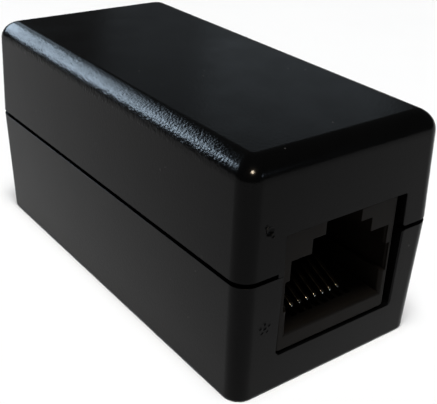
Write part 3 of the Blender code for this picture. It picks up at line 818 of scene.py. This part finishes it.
def wire_row_tree():
    """Sweep a flat wire along a bent line and set it out in two rows, one with deeper tails."""
    tree = bpy.data.node_groups.new("wire_row", "GeometryNodeTree")
    tree.interface.new_socket("Geometry", in_out="INPUT", socket_type="NodeSocketGeometry")
    sizes = (
        ("Wire Width", "NodeSocketFloat"), ("Wire Thickness", "NodeSocketFloat"),
        ("Wire Corner", "NodeSocketFloat"), ("Pitch", "NodeSocketFloat"),
        ("Tail Stagger", "NodeSocketFloat"), ("Count", "NodeSocketInt"),
        ("Finish", "NodeSocketMaterial"))
    for name, kind in sizes:
        tree.interface.new_socket(name, in_out="INPUT", socket_type=kind)
    tree.interface.new_socket("Geometry", in_out="OUTPUT", socket_type="NodeSocketGeometry")
    given = tree.nodes.new("NodeGroupInput").outputs

    def node(kind, links=(), **settings):
        made = tree.nodes.new(kind)
        for name, value in settings.items():
            setattr(made, name, value)
        for socket, source in dict(links).items():
            if hasattr(source, "node"):
                tree.links.new(source, made.inputs[socket])
            else:
                made.inputs[socket].default_value = source
        return made

    def maths(operation, first, second):
        return node("ShaderNodeMath", {0: first, 1: second}, operation=operation).outputs[0]

    profile = node("GeometryNodeCurvePrimitiveQuadrilateral", {
        "Width": given["Wire Width"], "Height": given["Wire Thickness"]}).outputs["Curve"]
    profile = node("GeometryNodeFilletCurve", {
        "Curve": profile, "Count": WIRE_CORNER_STEPS, "Radius": given["Wire Corner"]},
        mode="POLY").outputs["Curve"]
    bend = node("GeometryNodeInputNamedAttribute", {"Name": "bend_radius"}, data_type="FLOAT")
    tail = node("GeometryNodeInputNamedAttribute", {"Name": "is_tail"}, data_type="FLOAT")
    span = maths("MULTIPLY", maths("SUBTRACT", given["Count"], 1.0), given["Pitch"])
    first_place = maths("MULTIPLY", span, -0.5)
    row_count = maths("DIVIDE", given["Count"], 2.0)
    row_pitch = maths("MULTIPLY", given["Pitch"], 2.0)
    rows = []
    for row in (0.0, 1.0):
        stagger = maths("MULTIPLY", given["Tail Stagger"], row)
        shift = maths("MULTIPLY", stagger, tail.outputs["Attribute"])
        line = node("GeometryNodeSetPosition", {
            "Geometry": given["Geometry"],
            "Offset": node("ShaderNodeCombineXYZ", {"Y": shift}).outputs["Vector"],
        }).outputs["Geometry"]
        line = node("GeometryNodeMeshToCurve", {"Mesh": line}).outputs["Curve"]
        line = node("GeometryNodeFilletCurve", {
            "Curve": line, "Count": BEND_STEPS, "Radius": bend.outputs["Attribute"]},
            mode="POLY").outputs["Curve"]
        line = node("GeometryNodeSetCurveNormal", {
            "Curve": line, "Normal": (1.0, 0.0, 0.0)}, mode="FREE").outputs["Curve"]
        wire = node("GeometryNodeCurveToMesh", {
            "Curve": line, "Profile Curve": profile, "Fill Caps": True}).outputs["Mesh"]
        start = maths("ADD", first_place, maths("MULTIPLY", given["Pitch"], row))
        places = node("GeometryNodeMeshLine", {
            "Count": row_count,
            "Start Location": node("ShaderNodeCombineXYZ", {"X": start}).outputs["Vector"],
            "Offset": node("ShaderNodeCombineXYZ", {"X": row_pitch}).outputs["Vector"],
        }).outputs["Mesh"]
        rows.append(node("GeometryNodeInstanceOnPoints", {
            "Points": places, "Instance": wire}).outputs["Instances"])
    joined = node("GeometryNodeJoinGeometry")
    for wires in rows:
        tree.links.new(wires, joined.inputs["Geometry"])
    real = node("GeometryNodeRealizeInstances", {"Geometry": joined.outputs["Geometry"]})
    plated = node("GeometryNodeSetMaterial", {
        "Geometry": real.outputs["Geometry"], "Material": given["Finish"]})
    result = tree.nodes.new("NodeGroupOutput")
    tree.links.new(plated.outputs["Geometry"], result.inputs["Geometry"])
    return tree


def plated_metal(name, pale, worn, rough):
    """Thin gold over bronze, a little duller in patches and drawn along the wire."""
    material = bpy.data.materials.new(name)
    material.use_nodes = True
    tree = material.node_tree
    shader = tree.nodes["Principled BSDF"]
    shader.inputs["Metallic"].default_value = 1.0
    place = tree.nodes.new("ShaderNodeTexCoord").outputs["Object"]
    drawn = tree.nodes.new("ShaderNodeMapping")
    drawn.inputs["Scale"].default_value = DRAWN_STRETCH
    tree.links.new(place, drawn.inputs["Vector"])
    lines = noise(tree, drawn.outputs["Vector"], DRAWN_SCALE, DRAWN_DETAIL)
    relief = tree.nodes.new("ShaderNodeBump")
    relief.inputs["Strength"].default_value = DRAWN_STRENGTH
    relief.inputs["Distance"].default_value = DRAWN_HEIGHT
    tree.links.new(lines, relief.inputs["Height"])
    tree.links.new(relief.outputs["Normal"], shader.inputs["Normal"])
    patches = noise(tree, place, PATCH_SCALE, PATCH_DETAIL)
    tree.links.new(tint(tree, patches, pale, worn), shader.inputs["Base Color"])
    tree.links.new(spread(tree, patches, *rough), shader.inputs["Roughness"])
    return material


def grow(name, mesh, tree, values):
    """Run a node tree on a mesh and keep the result as a plain mesh."""
    piece = bpy.data.objects.new(name, mesh)
    bpy.context.scene.collection.objects.link(piece)
    step = piece.modifiers.new("grow", "NODES")
    step.node_group = tree
    for item in tree.interface.items_tree:
        if item.item_type == "SOCKET" and item.in_out == "INPUT" and item.name in values:
            step[item.identifier] = values[item.name]
    graph = bpy.context.evaluated_depsgraph_get()
    grown = bpy.data.meshes.new_from_object(piece.evaluated_get(graph))
    piece.modifiers.clear()
    piece.data = grown
    return piece


contact_gold = plated_metal("contact_gold", SHADED_GOLD_PALE, SHADED_GOLD_WORN, GOLD_ROUGH)
wire_rows = wire_row_tree()
for end, place in PORTS.items():
    springs = grow(end + "_contacts", spring_line(), wire_rows, {
        "Wire Width": WIRE_WIDTH, "Wire Thickness": WIRE_THICKNESS, "Wire Corner": WIRE_CORNER,
        "Pitch": CONTACT_PITCH, "Tail Stagger": TAIL_STAGGER, "Count": CONTACT_COUNT,
        "Finish": contact_gold})
    springs.data.transform(place)
    smooth(springs)
    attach(springs, "root")
    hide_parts(*(f"{end}_contact_{number + 1}" for number in range(CONTACT_COUNT)))

# Upper shell: the cover, moulded in the same black ABS with generous round top edges.
# Cross ribs inside press the jacks down on the board, and four snap hooks reach into the
# pockets of the lower shell, so the case can't be opened without force.
UPPER_RIM = PARTING + GROOVE_HEIGHT / 2
UPPER_DRAFT = math.tan(math.radians(1.4))
TOP_EDGE = 0.0021
ROOF_WALL = 0.0016
LIP_GAP = 0.0002
FRONT_RIB_DEPTH = 0.0056
LEG_RIB_DEPTH = 0.0175
LEG_CLEARANCE = 0.0006
HOOK_ROOT_HEIGHT = 0.0043
HOOK_INNER = HOOK_OUTER - HOOK_THICKNESS
GROOVE_STOP_WIDTH = 0.00065
GROOVE_STOP_SEAM = 0.00003
ROOF = CASE_TOP - ROOF_WALL
LIP_SEAT = LIP_TOP + SEAT_GAP
HOLD_DOWN = JACK_HIGH.z + SEAT_GAP
UPPER_DIMPLES = (
    (-0.00915, 0.01785, 0.00046, 0.00020), (-0.00955, 0.01838, 0.00017, 0.00007),
    (-0.00878, 0.01730, 0.00017, 0.00007))

leg_rib = with_mirror([
    (JACK_HALF + SEAT_GAP, HOLD_DOWN),
    (JACK_HALF + SEAT_GAP, BOARD_HIGH.z + SEAT_GAP),
    (INNER_X - LEG_CLEARANCE, BOARD_HIGH.z + SEAT_GAP),
    (INNER_X - LEG_CLEARANCE, LIP_SEAT),
    (INNER_X + ROOT, LIP_SEAT),
    (INNER_X + ROOT, ROOF + ROOT),
])
snap_hook = [
    (HOOK_INNER, BARB_BOTTOM),
    (HOOK_OUTER, BARB_BOTTOM),
    (HOOK_OUTER + HOOK_BARB, BARB_SHOULDER),
    (HOOK_OUTER + HOOK_BARB, BARB_TOP),
    (HOOK_OUTER, BARB_TOP),
    (HOOK_OUTER, LIP_SEAT),
    (INNER_X + ROOT, LIP_SEAT),
    (INNER_X + ROOT, LIP_SEAT + HOOK_ROOT_HEIGHT),
    (HOOK_INNER, LIP_SEAT + HOOK_ROOT_HEIGHT),
]
rim_inset = (UPPER_RIM - PARTING) * UPPER_DRAFT
upper_shell = solid("upper_case_shell", moulded_form(
    HALF_WIDTH - rim_inset, HALF_LENGTH - rim_inset, UPPER_RIM, CASE_TOP, UPPER_DRAFT,
    CORNER_RADIUS, TOP_EDGE, RIM_EDGE))
hollow_inset = (PARTING - UPPER_RIM + CUT_PAST) * UPPER_DRAFT
shape(upper_shell, "DIFFERENCE", moulded_form(
    INNER_X + hollow_inset, INNER_Y + hollow_inset, UPPER_RIM - CUT_PAST, ROOF, UPPER_DRAFT,
    INNER_RADIUS, INNER_RADIUS))
shape(upper_shell, "DIFFERENCE", lip_form(LIP_GAP, LIP_SEAT))
ribs = bmesh.new()
for end in (-1, 1):
    y = end * (HALF_LENGTH - FRONT_RIB_DEPTH)
    box(ribs, (-INNER_X - ROOT, y - RIB_THICKNESS / 2, HOLD_DOWN),
        (INNER_X + ROOT, y + RIB_THICKNESS / 2, ROOF + ROOT))
    y = end * (HALF_LENGTH - LEG_RIB_DEPTH)
    bar(ribs, leg_rib, y - RIB_THICKNESS / 2, y + RIB_THICKNESS / 2)
shape(upper_shell, "UNION", ribs)
hooks = bmesh.new()
for y in (-HOOK_OFFSET, HOOK_OFFSET):
    bar(hooks, snap_hook, y - HOOK_WIDTH / 2, y + HOOK_WIDTH / 2)
    bar(hooks, [(-x, z) for x, z in reversed(snap_hook)], y - HOOK_WIDTH / 2, y + HOOK_WIDTH / 2)
shape(upper_shell, "UNION", hooks)
groove_stops = bmesh.new()
for end in (-1, 1):
    sides = sorted((end * (WINDOW_NEAR + GROOVE_STOP_WIDTH), end * (WINDOW_NEAR - ROOT)))
    faces = sorted((
        end * (HALF_LENGTH - GROOVE_STOP_SEAM), end * (HALF_LENGTH - GROOVE_DEPTH + LIP_GAP)))
    box(groove_stops, (sides[0], faces[0], LOWER_RIM + GROOVE_STOP_SEAM),
        (sides[1], faces[1], UPPER_RIM + GROOVE_HEIGHT))
shape(upper_shell, "UNION", groove_stops)
shape(upper_shell, "DIFFERENCE", windows(
    UPPER_RIM, WINDOW_HIGH, UPPER_WINDOW_CORNER, UPPER_DRAFT, WINDOW_FLARE, WINDOW_FLARE))
shape(upper_shell, "DIFFERENCE", dimples(UPPER_DIMPLES))
smooth(upper_shell)
upper_shell.data.materials.append(case_plastic)
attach(upper_shell, "root")
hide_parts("upper_shell")

# Table: a plain pale top with a matt coat of paint that mirrors almost nothing. It only stands
# under the coupler and isn't part of it.
TABLE_REACH = 3.0
PAINT_DARK = (0.85, 0.85, 0.85)
PAINT_LIGHT = (0.87, 0.87, 0.87)
PAINT_SCALE = 40.0
PAINT_DETAIL = 2.0
PAINT_ROUGH = 0.9
PAINT_IOR = 1.1

floor_form = bmesh.new()
bmesh.ops.create_grid(floor_form, x_segments=1, y_segments=1, size=TABLE_REACH)
floor = solid("pale_table", floor_form)
table_paint = bpy.data.materials.new("table_paint")
table_paint.use_nodes = True
paint_tree = table_paint.node_tree
paint = paint_tree.nodes["Principled BSDF"]
paint.inputs["Roughness"].default_value = PAINT_ROUGH
paint.inputs["IOR"].default_value = PAINT_IOR
paint_place = paint_tree.nodes.new("ShaderNodeTexCoord").outputs["Object"]
paint_cloud = noise(paint_tree, paint_place, PAINT_SCALE, PAINT_DETAIL)
paint_tree.links.new(
    tint(paint_tree, paint_cloud, PAINT_DARK, PAINT_LIGHT), paint.inputs["Base Color"])
floor.data.materials.append(table_paint)

# Light: a softbox high over the camera's side lights the table and isn't mirrored. The rest
# is only mirrored: a cool window's four panes along the left top edge, a small warm lamp and
# a cool one as dots on the near corner, and two dim panels in the top face.
WINDOW_COLOUR = (0.78, 0.98, 1.18)
WARM_COLOUR = (1.20, 1.00, 0.75)
COOL_COLOUR = (0.80, 0.95, 1.20)
PANEL_COLOUR = (0.85, 0.98, 1.10)
WORLD_COLOUR = (0.95, 0.98, 1.0, 1.0)
WORLD_STRENGTH = 0.05

# A light's name, azimuth and elevation in degrees, distance, width, height, radiance, colour.
TABLE_LIGHT = ("table_light", -144, 81, 2.0, 0.54, 0.54, 51.0, (1.0, 1.0, 1.0))
MIRRORED_LIGHTS = (
    ("window_pane", -32, 23.5, 0.40, 0.098, 0.119, 43.0, WINDOW_COLOUR),
    ("window_pane", -17, 26, 0.40, 0.098, 0.115, 18.0, WINDOW_COLOUR),
    ("window_pane", -3, 28, 0.40, 0.098, 0.115, 13.5, WINDOW_COLOUR),
    ("window_pane", 11, 24, 0.40, 0.098, 0.115, 1.8, WINDOW_COLOUR),
    ("warm_lamp", -149, 50, 1.00, 0.14, 0.14, 300.0, WARM_COLOUR),
    ("cool_lamp", 152, 18, 1.00, 0.04, 0.04, 110.0, COOL_COLOUR),
    ("dim_panel", 41, 20, 0.80, 0.34, 0.20, 0.145, PANEL_COLOUR),
    ("dim_panel", 44, 20, 0.80, 0.20, 0.17, 0.19, PANEL_COLOUR))


def softbox(name, azimuth, elevation, distance, width, height, radiance, colour):
    """A soft light seen from the middle of the case in one direction and aimed back at it."""
    light = bpy.data.lights.new(name, "AREA")
    light.shape = "RECTANGLE"
    light.size = width
    light.size_y = height
    light.energy = radiance * math.pi * width * height
    light.color = colour
    lamp = bpy.data.objects.new(name, light)
    turn = math.radians(azimuth)
    rise = math.radians(elevation)
    away = Vector((
        math.sin(turn) * math.cos(rise), math.cos(turn) * math.cos(rise), math.sin(rise)))
    lamp.location = Vector((0, 0, PARTING)) + away * distance
    lamp.rotation_euler = away.to_track_quat("Z", "Y").to_euler()
    bpy.context.scene.collection.objects.link(lamp)
    return lamp


softbox(*TABLE_LIGHT).visible_glossy = False
for values in MIRRORED_LIGHTS:
    softbox(*values).visible_diffuse = False
world = bpy.data.worlds.new("dim_studio")
world.use_nodes = True
background = world.node_tree.nodes["Background"].inputs
background["Color"].default_value = WORLD_COLOUR
background["Strength"].default_value = WORLD_STRENGTH
bpy.context.scene.world = world
bpy.context.scene.view_settings.view_transform = "Standard"

# Camera: at the photograph's viewing angle, found by fitting the case's outline. Its place is
# in metres, and its focal length in pixels of the photograph's width.
PHOTO_WIDTH = 437
FOCAL_PIXELS = 822.312
CAMERA_PLACE = (-0.048869, -0.068574, 0.051302)
CAMERA_YAW = math.radians(37.723)
CAMERA_PITCH = math.radians(27.553)
CAMERA_ROLL = math.radians(2.527)
SENSOR_WIDTH = 36.0
NEAREST = 0.005
FARTHEST = 20.0

ahead = Vector((
    math.sin(CAMERA_YAW) * math.cos(CAMERA_PITCH), math.cos(CAMERA_YAW) * math.cos(CAMERA_PITCH),
    -math.sin(CAMERA_PITCH)))
level = Vector((math.cos(CAMERA_YAW), -math.sin(CAMERA_YAW), 0))
upright = level.cross(ahead)
across = level * math.cos(CAMERA_ROLL) + upright * math.sin(CAMERA_ROLL)
above = upright * math.cos(CAMERA_ROLL) - level * math.sin(CAMERA_ROLL)
lens = bpy.data.cameras.new("photo_view")
lens.sensor_width = SENSOR_WIDTH
lens.lens = FOCAL_PIXELS * SENSOR_WIDTH / PHOTO_WIDTH
lens.clip_start = NEAREST
lens.clip_end = FARTHEST
camera = bpy.data.objects.new("photo_view", lens)
axes = Matrix((across, above, -ahead)).transposed()
camera.matrix_world = Matrix.Translation(CAMERA_PLACE) @ axes.to_4x4()
bpy.context.scene.collection.objects.link(camera)
bpy.context.scene.camera = camera
